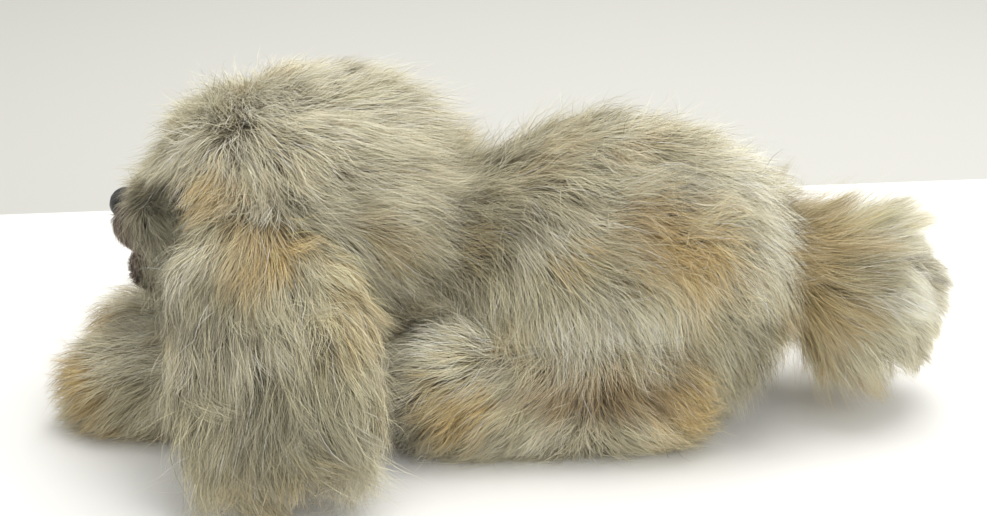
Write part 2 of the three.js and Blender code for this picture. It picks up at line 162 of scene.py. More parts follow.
class Look:
    """A node material under construction: a Principled shader and the nodes that drive it."""

    def __init__(self, name, roughness=0.8, **sockets):
        self.material = bpy.data.materials.new(name)
        self.material.use_nodes = True
        self.tree = self.material.node_tree
        self.shader = self.tree.nodes["Principled BSDF"]
        self.shader.inputs["Roughness"].default_value = roughness
        for socket, value in sockets.items():
            self.shader.inputs[socket.replace("_", " ")].default_value = value

    def node(self, kind, **inputs):
        made = self.tree.nodes.new(kind)
        for name, value in inputs.items():
            self.feed(made.inputs[name.replace("_", " ")], value)
        return made

    def feed(self, socket, value):
        if isinstance(value, bpy.types.NodeSocket):
            self.tree.links.new(value, socket)
        elif isinstance(value, tuple) and len(value) == 3 and socket.type == "RGBA":
            socket.default_value = (*value, 1)
        else:
            socket.default_value = value

    def coordinates(self, kind="Object"):
        return self.node("ShaderNodeTexCoord").outputs[kind]

    def noise(self, scale, detail=3.0, stretch=(1, 1, 1)):
        placed = self.node("ShaderNodeMapping", Vector=self.coordinates(), Scale=stretch)
        made = self.node("ShaderNodeTexNoise", Vector=placed.outputs["Vector"], Scale=scale, Detail=detail)
        return made.outputs["Fac"]

    def waves(self, scale, direction="X", distortion=0.0):
        made = self.node("ShaderNodeTexWave", Vector=self.coordinates(), Scale=scale, Distortion=distortion)
        made.bands_direction = direction
        return made.outputs["Fac"]

    def cells(self, scale):
        made = self.node("ShaderNodeTexVoronoi", Vector=self.coordinates(), Scale=scale)
        return made.outputs["Distance"]

    def maths(self, operation, *values):
        made = self.node("ShaderNodeMath")
        made.operation = operation
        for socket, value in zip(made.inputs, values):
            self.feed(socket, value)
        return made.outputs["Value"]

    def mix(self, factor, low, high, blend="MIX"):
        made = self.node("ShaderNodeMix")
        made.data_type = "RGBA"
        made.blend_type = blend
        self.feed(made.inputs["Factor"], factor)
        self.feed(made.inputs[6], low)
        self.feed(made.inputs[7], high)
        return made.outputs[2]

    def ramp(self, factor, *stops):
        made = self.node("ShaderNodeValToRGB", Fac=factor)
        elements = made.color_ramp.elements
        while len(elements) < len(stops):
            elements.new(0.5)
        for element, (position, color) in zip(elements, stops):
            element.position = position
            element.color = (*color, 1)
        return made.outputs["Color"]

    def base_color(self, color):
        self.feed(self.shader.inputs["Base Color"], color)

    def bump(self, height, distance, strength=1.0):
        made = self.node("ShaderNodeBump", Height=height, Distance=distance, Strength=strength)
        self.feed(self.shader.inputs["Normal"], made.outputs["Normal"])


def hair_look():
    """Synthetic fur: each strand carries its own tint from root to tip."""
    look = Look("long_pile_hair", roughness=0.5, Specular_IOR_Level=0.35, Sheen_Weight=0.2)
    tint = look.node("ShaderNodeAttribute")
    tint.attribute_name = "tint"
    mottle = look.ramp(look.noise(90), (0.3, (0.86, 0.85, 0.83)), (0.7, (1, 1, 1)))
    look.base_color(look.mix(1.0, tint.outputs["Color"], mottle, "MULTIPLY"))
    return look.material


def fur_cloth_look():
    """The knitted backing under the long hair; its dark browns are painted shade, like the shadow deep
    between the hairs.
    """
    look = Look("fur_backing", roughness=0.95)
    # dark browns of the backing cloth: painted shade between the hairs
    patches = look.ramp(
        look.noise(28),
        (0.32, (0.15, 0.12, 0.085)),
        (0.5, (0.24, 0.205, 0.155)),
        (0.68, (0.32, 0.285, 0.225)),
    )
    knit = look.maths("MULTIPLY", look.waves(700, "X", 1.0), look.waves(700, "Z", 1.0))
    look.base_color(look.mix(knit, patches, (0.12, 0.1, 0.075)))
    look.bump(knit, 0.3 * MM)
    return look.material


def plush_look():
    """The short plush of the muzzle and chin."""
    look = Look("short_plush", roughness=0.9, Sheen_Weight=0.3)
    tufts = look.noise(900, 2.0)
    shade = look.ramp(
        look.noise(60),
        (0.35, (0.115, 0.08, 0.06)),
        (0.5, (0.20, 0.145, 0.11)),
        (0.65, (0.27, 0.21, 0.165)),
    )
    look.base_color(look.mix(look.maths("MULTIPLY", tufts, 0.4), shade, (0.08, 0.06, 0.05)))
    look.bump(tufts, 0.5 * MM)
    return look.material


def cloth_look(name, low, high, threads=1100):
    """A plain weave: two sets of threads that pass over and under each other."""
    look = Look(name, roughness=0.85)
    warp = look.waves(threads, "X", 0.4)
    weft = look.waves(threads, "Y", 0.4)
    weave = look.maths("MAXIMUM", warp, weft)
    worn = look.ramp(look.noise(40), (0.3, low), (0.7, high))
    look.base_color(look.mix(look.maths("MULTIPLY", weave, 0.35), worn, high))
    look.bump(weave, 0.15 * MM)
    return look.material


def felt_look(name, low, high):
    look = Look(name, roughness=0.95, Sheen_Weight=0.25)
    fibres = look.noise(700, 5.0, (1, 1, 0.4))
    clouds = look.noise(90)
    look.base_color(look.ramp(look.maths("MULTIPLY", fibres, look.maths("ADD", clouds, 0.5)),
                              (0.3, low), (0.65, high)))
    look.bump(fibres, 0.3 * MM)
    return look.material


def stuffing_look():
    look = Look("polyester_fill", roughness=0.95)
    fluff = look.noise(160, 6.0)
    look.base_color(look.ramp(fluff, (0.3, (0.62, 0.61, 0.58)), (0.7, (0.93, 0.93, 0.91))))
    look.bump(fluff, 1.5 * MM)
    return look.material


def board_look():
    look = Look("pressed_board", roughness=0.85)
    fibres = look.noise(220, 4.0, (0.25, 1, 1))
    look.base_color(look.ramp(fibres, (0.3, (0.40, 0.33, 0.24)), (0.7, (0.58, 0.50, 0.39))))
    look.bump(fibres, 0.1 * MM)
    return look.material


def nose_look():
    """Black moulded plastic with the pebbled grain of a dog's nose."""
    look = Look("moulded_nose", roughness=0.45, Specular_IOR_Level=0.35, Coat_Weight=0.08)
    pebbles = look.cells(1100)
    look.base_color(look.ramp(pebbles, (0.1, (0.02, 0.02, 0.023)), (0.7, (0.008, 0.008, 0.009))))
    look.bump(look.maths("SUBTRACT", 1.0, pebbles), 0.25 * MM)
    return look.material


def eye_look():
    """A glossy eye, nearly black with dark brown clouds."""
    look = Look("glossy_eye", roughness=0.06, Coat_Weight=0.6, Coat_Roughness=0.03)
    depth = look.noise(220, 2.0)
    look.base_color(look.ramp(depth, (0.35, (0.006, 0.004, 0.003)), (0.7, (0.055, 0.025, 0.012))))
    return look.material


def washer_look():
    look = Look("lock_washer", roughness=0.4)
    scuffs = look.noise(300, 4.0)
    look.base_color(look.ramp(scuffs, (0.3, (0.70, 0.70, 0.67)), (0.7, (0.86, 0.86, 0.84))))
    return look.material


# ---- Smooth pieces made from the frame's solids ----


def link(name, mesh, body, slot):
    piece = bpy.data.objects.new(name, mesh)
    bpy.context.scene.collection.objects.link(piece)
    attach(piece, body)
    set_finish(piece, slot)
    return piece


def joined(name, nodes):
    """One mesh that holds the faces of several frame nodes."""
    corners, faces = [], []
    for node in nodes:
        first = len(corners)
        data = NODES[node].data
        corners += [tuple(v.co) for v in data.vertices]
        faces += [tuple(first + i for i in p.vertices) for p in data.polygons]
    mesh = bpy.data.meshes.new(name)
    mesh.from_pydata(corners, [], faces)
    return mesh


def soft_piece(name, nodes, look, voxel, rounds=8, shrink=0.0):
    """Frame solids as one smooth closed piece that replaces them."""
    piece = link(name, joined(name, nodes), BODY_OF[nodes[0]], SLOT_OF[nodes[0]])
    remesh = piece.modifiers.new("even", "REMESH")
    remesh.mode = "VOXEL"
    remesh.voxel_size = voxel
    remesh.use_smooth_shade = True
    smooth = piece.modifiers.new("smooth", "SMOOTH")
    smooth.iterations = rounds
    smooth.factor = 0.5
    if shrink:
        slim = piece.modifiers.new("slim", "DISPLACE")
        slim.strength = -shrink
        slim.mid_level = 0
    graph = bpy.context.evaluated_depsgraph_get()
    mesh = bpy.data.meshes.new_from_object(piece.evaluated_get(graph))
    piece.modifiers.clear()
    piece.data = mesh
    mesh.materials.clear()
    mesh.materials.append(look)
    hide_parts(*nodes)
    return piece


# ---- Fields that the hair follows ----


def unit(vectors):
    return vectors / np.maximum(np.linalg.norm(vectors, axis=-1, keepdims=True), 1e-9)


def ease(value, start, end):
    """0 before start, 1 after end, and smooth between them."""
    t = np.clip((value - start) / (end - start), 0, 1)
    return t * t * (3 - 2 * t)


def vector(x, y, z):
    return np.stack(np.broadcast_arrays(x, y, z), axis=-1).astype(float)


def away_from(points, hub, stretch=(1, 1, 1), soft=0.0):
    """Outwards from a hub, weaker within soft of it."""
    offset = (points - np.asarray(hub)) * stretch
    return offset / np.sqrt(np.sum(offset ** 2, axis=1, keepdims=True) + max(soft, 1e-9) ** 2)


def ripple(points, size, seed, channels=3, waves=10):
    """Smooth noise between about -1 and 1: a sum of waves about size long in random directions."""
    random = np.random.default_rng(seed)
    total = np.zeros((len(points), channels))
    for _ in range(waves):
        direction = unit(random.normal(size=3)) * 2 * math.pi / (size * random.uniform(0.6, 1.6))
        phase = (points @ direction)[:, None]
        total += np.sin(phase + random.uniform(0, 2 * math.pi, channels))
    return total / math.sqrt(waves / 2) / 1.6


class Clearance:
    """Distance from the outsides of the skins, kept on a grid so that many points are read at once."""

    STEP = 4 * MM
    ROOM = 0.05

    def __init__(self, skins):
        corners, faces = [], []
        for skin in skins:
            first = len(corners)
            corners += [v.co.copy() for v in skin.piece.data.vertices]
            faces += [[first + i for i in skin.corners[f]] for f in np.flatnonzero(skin.outer)]
        tree = BVHTree.FromPolygons(corners, faces)
        low = np.array(cad_box[0]) - self.ROOM
        high = np.array(cad_box[1]) + self.ROOM
        self.low = low
        self.shape = np.ceil((high - low) / self.STEP).astype(int) + 1
        axes = [low[i] + self.STEP * np.arange(self.shape[i]) for i in range(3)]
        grid = np.stack(np.meshgrid(*axes, indexing="ij"), axis=-1)
        flat = grid.reshape(-1, 3)
        distance = np.empty(len(flat))
        for i, place in enumerate(flat):
            hit, normal, _, apart = tree.find_nearest(place)
            inside = normal.dot(Vector(place) - hit) < 0
            distance[i] = -apart if inside else apart
        self.distance = distance.reshape(self.shape)
        self.slope = np.stack(np.gradient(self.distance, self.STEP), axis=-1)

    def at(self, points):
        """The distance at each point and the direction in which it grows."""
        cell = np.clip((points - self.low) / self.STEP, 0, self.shape - 1.001)
        corner = cell.astype(int)
        part = cell - corner
        distance = np.zeros(len(points))
        slope = np.zeros((len(points), 3))
        for dx in (0, 1):
            for dy in (0, 1):
                for dz in (0, 1):
                    weight = np.prod(np.where([dx, dy, dz], part, 1 - part), axis=1)
                    index = tuple((corner + [dx, dy, dz]).T)
                    distance += weight * self.distance[index]
                    slope += weight[:, None] * self.slope[index]
        return distance, unit(slope)


# ---- Skins: where hair can grow ----


class Skin:
    """A smooth piece with its outside faces, from which hair roots are drawn."""

    def __init__(self, piece):
        mesh = piece.data
        self.piece = piece
        self.points = np.empty(len(mesh.vertices) * 3)
        mesh.vertices.foreach_get("co", self.points)
        self.points = self.points.reshape(-1, 3)
        self.normals = np.empty(len(mesh.vertices) * 3)
        mesh.vertices.foreach_get("normal", self.normals)
        self.normals = self.normals.reshape(-1, 3)
        self.corners = [tuple(p.vertices) for p in mesh.polygons]
        self.tree = BVHTree.FromPolygons([v.co for v in mesh.vertices], self.corners)
        self.outer = np.ones(len(self.corners), bool)

    def leave_out_hidden(self, others):
        """Keep the faces that look outwards and that none of the other skins lies against."""
        for i, polygon in enumerate(self.piece.data.polygons):
            normal = polygon.normal
            start = polygon.center + normal * 2 * MM
            inside = self.tree.ray_cast(start, normal, 0.3)[0] is not None
            covered = any(other.tree.ray_cast(start, normal, 5 * MM)[0] is not None for other in others)
            self.outer[i] = not (inside or covered)
        chosen = [self.corners[i] for i in np.flatnonzero(self.outer)]
        self.triangles = np.array([t for c in chosen for t in ((c[0], c[1], c[2]), (c[0], c[2], c[-1]))])
        edges = self.points[self.triangles]
        crossed = np.cross(edges[:, 1] - edges[:, 0], edges[:, 2] - edges[:, 0])
        self.areas = np.linalg.norm(crossed, axis=1) / 2

    def roots(self, count, thin, random):
        """Points spread evenly over the outside, thinned where thin is under 1, and their normals."""
        middles = self.points[self.triangles].mean(axis=1)
        weight = self.areas * thin(middles)
        picked = random.choice(len(self.areas), count, p=weight / weight.sum())
        a, b = random.random((2, count, 1))
        over = a + b > 1
        a, b = np.where(over, 1 - a, a), np.where(over, 1 - b, b)
        shares = (1 - a - b, a, b)
        corners = self.triangles[picked]
        place = sum(s * self.points[corners[:, i]] for i, s in enumerate(shares))
        normal = unit(sum(s * self.normals[corners[:, i]] for i, s in enumerate(shares)))
        return place, normal


def everywhere(points):
    return np.ones(len(points))


# ---- Hair ----


@dataclass
class Coat:
    """One piece of hair: where it grows, how long, which way it is combed and its tint."""

    name: str
    skin: Skin
    count: int
    length: Callable
    comb: Callable
    tint: Callable
    pile: Callable  # how far above the skin the hair lies
    lift: float = 0.6  # how steeply the hair leaves the skin
    droop: float = 0.08  # how much its weight bends it
    hug: float = 0.8  # how closely it follows the skin
    frizz: float = 0.36  # how much neighbouring strands differ in direction
    wander: float = 0.40  # how much neighbouring locks differ in direction
    lock: float = 7 * MM  # distance between locks
    clump: float = 0.32  # how far the tips of a lock draw together
    contrast: float = 0.12  # how much neighbouring locks differ in tone
    width: float = 0.32 * MM
    steps: int = 5  # straight stretches in a strand
    thin: Callable = everywhere  # how densely it grows, from place to place
    seed: int = 1


GRAVITY = np.array([0, 0, -1.0])
FLOOR_GAP = 0.6 * MM
FLYAWAY = 0.14  # share of fine hairs that stand out of their lock
FLYAWAY_WIDTH = 0.6  # their width beside the others
SPREAD_SHARE = 0.029  # the hair may stand out of the frame's box by this share of its side
SPREAD = 9.5 * MM  # and by this length more
NEAR_FLOOR = 3 * MM  # below this height a strand no longer bends down
BROAD_SWIRL = 45 * MM  # size of the slow changes of direction in the coat
FINE_SWIRL = 14 * MM  # size of the quick ones
WISP = 0.35  # size of a wisp beside its lock
WAVINESS = 0.018  # a strand's waves beside its length


def grow(coat, flyaway, clearance, random):
    """The points along each strand: [strand, step, xyz], with the roots first."""
    roots, normals = coat.skin.roots(coat.count, coat.thin, random)
    stride = (coat.length(roots) * random.uniform(0.55, 1.12, coat.count) / coat.steps)[:, None]
    pile = coat.pile(roots) * random.uniform(0.55, 1.4, coat.count) * np.where(flyaway, 1.6, 1.0)
    lift = coat.lift + np.where(flyaway, 0.5, 0.0)
    heading = normals
    place = roots
    points = [roots]
    stray = random.normal(0, coat.frizz, roots.shape) * np.where(flyaway, 1.6, 1.0)[:, None]
    for step in range(coat.steps):
        distance, outwards = clearance.at(place)
        flow = coat.comb(place) + coat.wander * ripple(place, BROAD_SWIRL, coat.seed)
        flow = flow + coat.wander * 0.7 * ripple(place, FINE_SWIRL, coat.seed + 1) + stray
        flow = unit(flow - outwards * coat.hug * np.sum(flow * outwards, axis=1, keepdims=True))
        room = 1 - ease(distance, 0.3 * pile, pile)
        wanted = flow + outwards * (lift * room * (1 - 0.7 * step / coat.steps))[:, None]
        keep = 0.15 if step == 0 else 0.5
        heading = unit(heading * keep + unit(wanted) * (1 - keep) + GRAVITY * coat.droop)
        landed = place[:, 2] < NEAR_FLOOR
        heading[landed, 2] = np.maximum(heading[landed, 2], 0)
        place = place + unit(heading) * stride
        distance, outwards = clearance.at(place)
        margin = (0.8 + 1.2 * (step + 1) / coat.steps) * MM
        place = place + outwards * np.maximum(margin - distance, 0)[:, None]
        place[:, 2] = np.maximum(place[:, 2], FLOOR_GAP * (1 + random.random(coat.count)))
        points.append(place)
    return np.stack(points, axis=1), normals


def gathered(points, coat, flyaway, random):
    """The strands drawn together into locks, each with a few finer wisps in it, and a lock's number
    for each strand."""
    tame = np.where(flyaway, 0.25, 1.0)[:, None, None]
    along = np.linspace(0, 1, points.shape[1])
    numbers = None
    for spacing, pull in ((coat.lock, coat.clump), (coat.lock * WISP, coat.clump * 0.8)):
        area = coat.skin.areas.sum()
        leaders = random.permutation(len(points))[: max(8, int(area / spacing ** 2))]
        tree = KDTree(len(leaders))
        for i, leader in enumerate(leaders):
            tree.insert(points[leader, 0], i)
        tree.balance()
        nearest = np.array([tree.find(root)[1] for root in points[:, 0]])
        leader = points[leaders[nearest]]
        offset = points[:, :1] - leader[:, :1]
        weight = (pull * along ** 1.3)[None, :, None] * tame
        drawn = leader + offset * (1 - 0.75 * along[None, :, None])
        points = points + (drawn - points) * weight
        numbers = nearest if numbers is None else numbers
    return points, numbers


def kept_in_room(points, random):
    """The strands shortened towards their roots where they would leave the room that hair may fill."""
    low, high = (np.array(corner) for corner in cad_box)
    slack = SPREAD_SHARE * (high - low) + SPREAD
    low = np.array([*(low - slack)[:2], FLOOR_GAP])
    high = high + slack
    roots = points[:, :1]
    offset = points - roots
    with np.errstate(divide="ignore", invalid="ignore"):
        share = np.where(offset > 0, (high - roots) / offset, (low - roots) / offset)
    share = np.where(np.abs(offset) < 1e-7, 1, share)
    share[:, :, 2] = np.where(offset[:, :, 2] < 0, 1, share[:, :, 2])
    fit = share.min(axis=(1, 2))
    fit = np.where(fit < 1, fit * random.uniform(0.75, 1, len(fit)), 1).clip(0)[:, None, None]
    points = roots + offset * fit
    points[:, :, 2] = np.maximum(points[:, :, 2], FLOOR_GAP)
    return points


def frizzed(points, random):
    """A little waviness that grows towards the tips."""
    count, size = points.shape[:2]
    along = np.linspace(0, 1, size)[None, :, None]
    lean = random.normal(0, 1, (count, 1, 3))
    wave = np.sin(along * random.uniform(4, 9, (count, 1, 1)) + random.uniform(0, 6, (count, 1, 1)))
    reach = np.linalg.norm(points[:, -1:] - points[:, :1], axis=2)[..., None]
    return points + lean * wave * along * reach * WAVINESS


def ribbons(coat, points, normals, colors, flyaway, look, random):
    """The strands as narrow ribbons that lie flat on the skin and taper to a tip, as one mesh."""
    count, size = points.shape[:2]
    along = unit(np.gradient(points, axis=1))
    across = unit(np.cross(along, normals[:, None]))
    rise = np.cross(across, along)
    twist = random.normal(0, 0.5, (count, 1, 1))
    across = across * np.cos(twist) + rise * np.sin(twist)
    t = np.linspace(0, 1, size)
    half = coat.width / 2 * (1 - t ** 2.2) * (0.55 + 0.45 * np.minimum(1, t * 6))
    fineness = random.uniform(0.7, 1.2, (count, 1, 1)) * np.where(flyaway, FLYAWAY_WIDTH, 1)[:, None, None]
    half = half[None, :, None] * fineness
    sides = np.stack([points - across * half, points + across * half], axis=2)
    body = sides[:, :-1].reshape(count, -1, 3)
    corners = np.concatenate([body, points[:, -1:]], axis=1)
    tint = np.repeat(colors, 2, axis=1)[:, : corners.shape[1]]
    tint[:, -1] = colors[:, -1]

    per_strand = corners.shape[1]
    quads = [[2 * i, 2 * i + 1, 2 * i + 3, 2 * i + 2] for i in range(size - 2)]
    tip = [per_strand - 3, per_strand - 2, per_strand - 1]
    pattern = np.array([i for quad in quads for i in quad] + tip)
    lengths = np.array([4] * len(quads) + [3])
    loops = (pattern[None] + per_strand * np.arange(count)[:, None]).ravel()
    totals = np.tile(lengths, count)

    mesh = bpy.data.meshes.new(coat.name)
    mesh.vertices.add(count * per_strand)
    mesh.vertices.foreach_set("co", corners.astype(np.float32).ravel())
    mesh.loops.add(len(loops))
    mesh.loops.foreach_set("vertex_index", loops.astype(np.int32))
    mesh.polygons.add(len(totals))
    mesh.polygons.foreach_set("loop_start", np.concatenate([[0], np.cumsum(totals)[:-1]]).astype(np.int32))
    mesh.update(calc_edges=True)
    paint = mesh.color_attributes.new("tint", "FLOAT_COLOR", "POINT")
    alpha = np.ones((*tint.shape[:2], 1))
    paint.data.foreach_set("color", np.concatenate([tint, alpha], axis=2).astype(np.float32).ravel())
    lay_out(mesh, count, per_strand, pattern)
    mesh.materials.append(look)
    return mesh


def lay_out(mesh, count, per_strand, pattern):
    """Each strand's own small upright strip of the bake, side by side in rows."""
    rows = max(1, round(math.sqrt(count / 3)))
    columns = math.ceil(count / rows)
    strand = np.arange(count)
    corner = np.stack([strand % columns / columns, strand // columns / rows], axis=-1)
    inner = 0.15
    pairs = (per_strand - 1) // 2
    local = [(side, i / pairs) for i in range(pairs) for side in (0, 1)] + [(0.5, 1)]
    local = inner + np.array(local) * (1 - 2 * inner)
    uv = corner[:, None] + local[None] / [columns, rows]
    layer = mesh.uv_layers.new(name="OFBake")
    layer.data.foreach_set("uv", uv[:, pattern].astype(np.float32).ravel())


ROOT_SHADE = np.array([0.38, 0.34, 0.26])
CREAM = np.array([0.88, 0.83, 0.68])
STRAND_CONTRAST = 0.22  # how much neighbouring strands differ in tone
HUE_CONTRAST = 0.02  # and in hue
FLYAWAY_TONE = 1.35  # a flyaway hair's brightness beside the others
PAINTED_GLINT_SHARE = 0.012  # share of strands painted near-white as painted glints of light
# brightness of the strands painted as glints
PAINTED_GLINT_TONE = 0.92


def strand_colors(coat, points, locks, flyaway, random):
    """Each strand's tint at its points: dark at the root, pale at the tip, and each lock its own tone."""
    count, size = points.shape[:2]
    base = coat.tint(points[:, 0])
    tone = random.normal(0, coat.contrast, (locks.max() + 1, 1))[locks]
    base = base * (1 + tone + random.normal(0, STRAND_CONTRAST, (count, 1)))
    hue = 1 + random.normal(0, HUE_CONTRAST, (count, 3))
    base = base * hue * np.where(flyaway, FLYAWAY_TONE, 1)[:, None]
    t = np.linspace(0, 1, size)[None, :, None]
    shade = ROOT_SHADE + (1 - ROOT_SHADE) * ease(t, 0, 0.55)
    # pale tips: partly the fibres' own paler tips, partly painted light for light shining through them
    tip = ease(t, 0.5, 1) * random.uniform(0.1, 0.95, (count, 1, 1))
    colors = base[:, None] * shade
    pale = CREAM * 0.58 + base[:, None] * 0.6
    colors = colors + (pale - colors) * tip
    # a few strands painted near-white: painted glints of light on the hair
    colors[random.random(count) < PAINTED_GLINT_SHARE] = PAINTED_GLINT_TONE
    return np.clip(colors, 0.01, 0.95)


def make_hair(coat, clearance, look):
    random = np.random.default_rng(coat.seed)
    flyaway = random.random(coat.count) < FLYAWAY
    points, normals = grow(coat, flyaway, clearance, random)
    points, locks = gathered(points, coat, flyaway, random)
    points = kept_in_room(frizzed(points, random), random)
    colors = strand_colors(coat, points, locks, flyaway, random)
    mesh = ribbons(coat, points, normals, colors, flyaway, look, random)
    source = coat.skin.piece
    return link(coat.name, mesh, source.parent.name.removeprefix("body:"), source["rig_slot"])


# ---- Tints ----

BEIGE = np.array([0.585, 0.535, 0.37])
PALE = np.array([0.86, 0.805, 0.63])
OLIVE = np.array([0.28, 0.26, 0.17])
TAN = np.array([0.60, 0.42, 0.15])
BROWN = np.array([0.31, 0.21, 0.09])
GREY = np.array([0.20, 0.19, 0.16])
MAUVE = np.array([0.25, 0.175, 0.13])


def blend(base, color, weight):
    return base + (color - base) * weight[:, None]


def spot(points, place, radius):
    """1 in the middle of a patch, mirrored on the dog's other side, fading to 0 at its radius."""
    mirrored = points * [1, -1, 1]
    near = np.minimum(
        np.linalg.norm((points - place) / radius, axis=1),
        np.linalg.norm((mirrored - place) / radius, axis=1),
    )
    return 1 - ease(near, 0.35, 1.0)


def mottled(points, seed):
    """The coat's general mix of beige, pale, olive and tan locks."""
    tone = ripple(points * [0.6, 1, 1], 26 * MM, seed, 3)
    color = np.repeat(BEIGE[None], len(points), axis=0)
    color = blend(color, PALE, ease(tone[:, 0], 0.1, 0.9) * 0.8)
    color = blend(color, OLIVE, ease(tone[:, 1], 0.3, 1.1) * 0.7)
    return blend(color, TAN, ease(tone[:, 2], 0.35, 1.1) * 0.6)


def patched(seed, *patches):
    """A tint made of the mottled coat and patches: color, place, radius and strength."""

    def tint(points):
        color = mottled(points, seed)
        edge = ripple(points, 12 * MM, seed + 3, 3) * 5 * MM
        for patch, place, radius, strength in patches:
            color = blend(color, patch, spot(points + edge, np.array(place), np.array(radius)) * strength)
        return color

    return tint


# ---- The puppet's parts ----


def middle(*nodes):
    corners = [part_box(node) for node in nodes]
    low = np.min([c[0] for c in corners], axis=0)
    high = np.max([c[1] for c in corners], axis=0)
    return (low + high) / 2


def both(name):
    return f"{name}_left", f"{name}_right"


HEAD = middle(*both("head_fur"))
MUZZLE_TIP = middle("nose")
EAR_MIDDLE = middle(*both("ear_fur"))[0]
OPENING_MIDDLE = middle("opening_hem")
TAIL_TIPS = 0.243  # how far back the hair of the tail reaches


def side_of(points, soft=10 * MM):
    """-1 on the dog's left and 1 on its right, smooth across the middle."""
    return np.tanh(points[:, 1] / soft)


def comb_back(points):
    """Backwards along the spine, downwards on the flanks and outwards round the opening."""
    x, _, z = points.T
    low = 1 - ease(z, 0.060, 0.125)
    rear = ease(x, 0.03, 0.11)
    turn = side_of(points, 25 * MM)
    flow = vector(0.95 - 0.75 * low + 0.5 * low * rear, 0.35 * turn, -0.1 - 0.95 * low)
    brim = ease(x, 0.110, 0.130) * (1 - ease(z, 0.055, 0.075))
    return flow + away_from(points, OPENING_MIDDLE, (0, 1, 1)) * 2.5 * brim[:, None]


def round_eyes(points):
    """How near the points are to the eye of their side, from 0 to 1, and the way out from it."""
    x, y, z = middle("eye_right")
    offset = points - vector(x, y * np.sign(points[:, 1]), z)
    near = 1 - ease(np.linalg.norm(offset, axis=1), 10 * MM, 24 * MM)
    return near, unit(offset)


def comb_head(points):
    """Away from a line above the forehead: forward to the eyes and round them, down over the cheeks
    and back over the neck."""
    x = points[:, 0]
    parting = HEAD + np.array([-0.027, 0, 0.078])
    swept = away_from(points, parting, (1, 0.15, 1), 40 * MM)
    back = ease(x, HEAD[0] - 0.01, HEAD[0] + 0.04)
    flow = swept + vector(0.7 * back, 0.15 * side_of(points), 0.25 * back - 0.1)
    near, out = round_eyes(points)
    return flow + (out * 1.3 - flow) * near[:, None]


def comb_neck(points):
    return vector(0.8, 0.35 * side_of(points), 0.25)


def comb_muzzle(points):
    """Away from the nose, and down to the lip."""
    return away_from(points, MUZZLE_TIP + np.array([-0.02, 0, 0.010])) + vector(0.3, 0, -0.3)


def comb_chin(points):
    return vector(0.2, 0.3 * side_of(points), 0.6)


def comb_whiskers(points):
    """Outwards from the nose, to the sides and down."""
    hub = MUZZLE_TIP + np.array([-0.004, 0, 0.008])
    return away_from(points, hub) + vector(-0.1, 0.5 * side_of(points), -0.25)


def comb_ear(side):
    root = PIVOT[f"ear_{SIDE_NAME[side]}_lift"]
    hub = root + np.array([0.002, -side * 0.006, 0.030])

    def comb(points):
        return away_from(points, hub, (2, 1, 1), 10 * MM) + vector(0.16, 0.2 * side, -0.15)

    return comb


def comb_foreleg(side):
    root = PIVOT[f"foreleg_{SIDE_NAME[side]}_splay"]
    hub = root + np.array([-0.065, 0, 0.020])

    def comb(points):
        out = np.sign(points[:, 1] - root[1])
        return away_from(points, hub) + vector(-0.25, 0.12 * out, -0.1)

    return comb


def comb_hind_leg(side):
    root = PIVOT[f"hind_leg_{SIDE_NAME[side]}_splay"]
    hub = root + np.array([-0.030, 0, 0.030])

    def comb(points):
        rear = ease(points[:, 0], 0.02, 0.06)[:, None]
        foot = away_from(points, hub) + vector(-0.1, 0, -0.15)
        return foot * (1 - rear) + vector(0.85, 0.1 * side, -0.5) * rear

    return comb


def comb_tail(points):
    """Out from the tail's root like a fan, more backwards on top, and down over its end."""
    x, _, z = points.T
    hub = PIVOT["tail_wag"] + np.array([-0.002, 0, 0])
    top = ease(z, hub[2], hub[2] + 0.02)
    flow = vector(-0.1 + 0.8 * top + 0.35 * ease(x, 0.14, 0.18), 0, -0.9 * ease(x, 0.200, 0.225))
    return away_from(points, hub) + flow


def steady(length):
    return lambda points: np.full(len(points), length)


def back_length(points):
    """Longest on the flanks, where the hair falls over the hind legs."""
    low = 1 - ease(points[:, 2], 0.02, 0.06)
    flank = (1 - ease(points[:, 2], 0.10, 0.13)) * ease(points[:, 0], 0.0, 0.03)
    return 39 * MM + 6 * MM * flank - 12 * MM * low


def back_pile(points):
    """Deepest over the shoulders, behind the head, and flattest at the rear end."""
    x, _, z = points.T
    shoulders = 1 - ease(x, -0.03, 0.04)
    high = ease(z, 0.09, 0.13)
    rear = ease(x, 0.10, 0.13)
    return 14 * MM + 16 * MM * shoulders * high + 4 * MM * high * (1 - ease(x, 0.04, 0.10)) - 6 * MM * rear


def head_length(points):
    """Longest at the back of the head, where it falls over the neck, and short round the eyes."""
    near, _ = round_eyes(points)
    return 36 * MM - 24 * MM * near + 22 * MM * ease(points[:, 0], HEAD[0] + 0.005, HEAD[0] + 0.045)


def head_pile(points):
    """Deep on the forehead and at the back of the head, flatter on the cheeks."""
    x, _, z = points.T
    high = ease(z, HEAD[2] + 0.005, HEAD[2] + 0.040)
    front = 1 - ease(x, HEAD[0] - 0.050, HEAD[0] - 0.010)
    back = ease(x, HEAD[0] + 0.005, HEAD[0] + 0.045) * ease(z, HEAD[2] - 0.01, HEAD[2] + 0.02)
    near, _ = round_eyes(points)
    return (13 * MM + 4 * MM * high + 9 * MM * front + 26 * MM * back) * (1 - 0.6 * near)


def ear_length(points):
    """Longest in the middle of the ear's lower edge."""
    low = 1 - ease(points[:, 2], 0.04, 0.10)
    middle = 1 - ease(np.abs(points[:, 0] - EAR_MIDDLE), 0.012, 0.048)
    return 34 * MM + low * (8 * MM + 30 * MM * middle)


def hind_leg_pile(points):
    """Flatter at the rear of the thigh than on the foot."""
    return 15 * MM - 6 * MM * ease(points[:, 0], -0.02, 0.04)


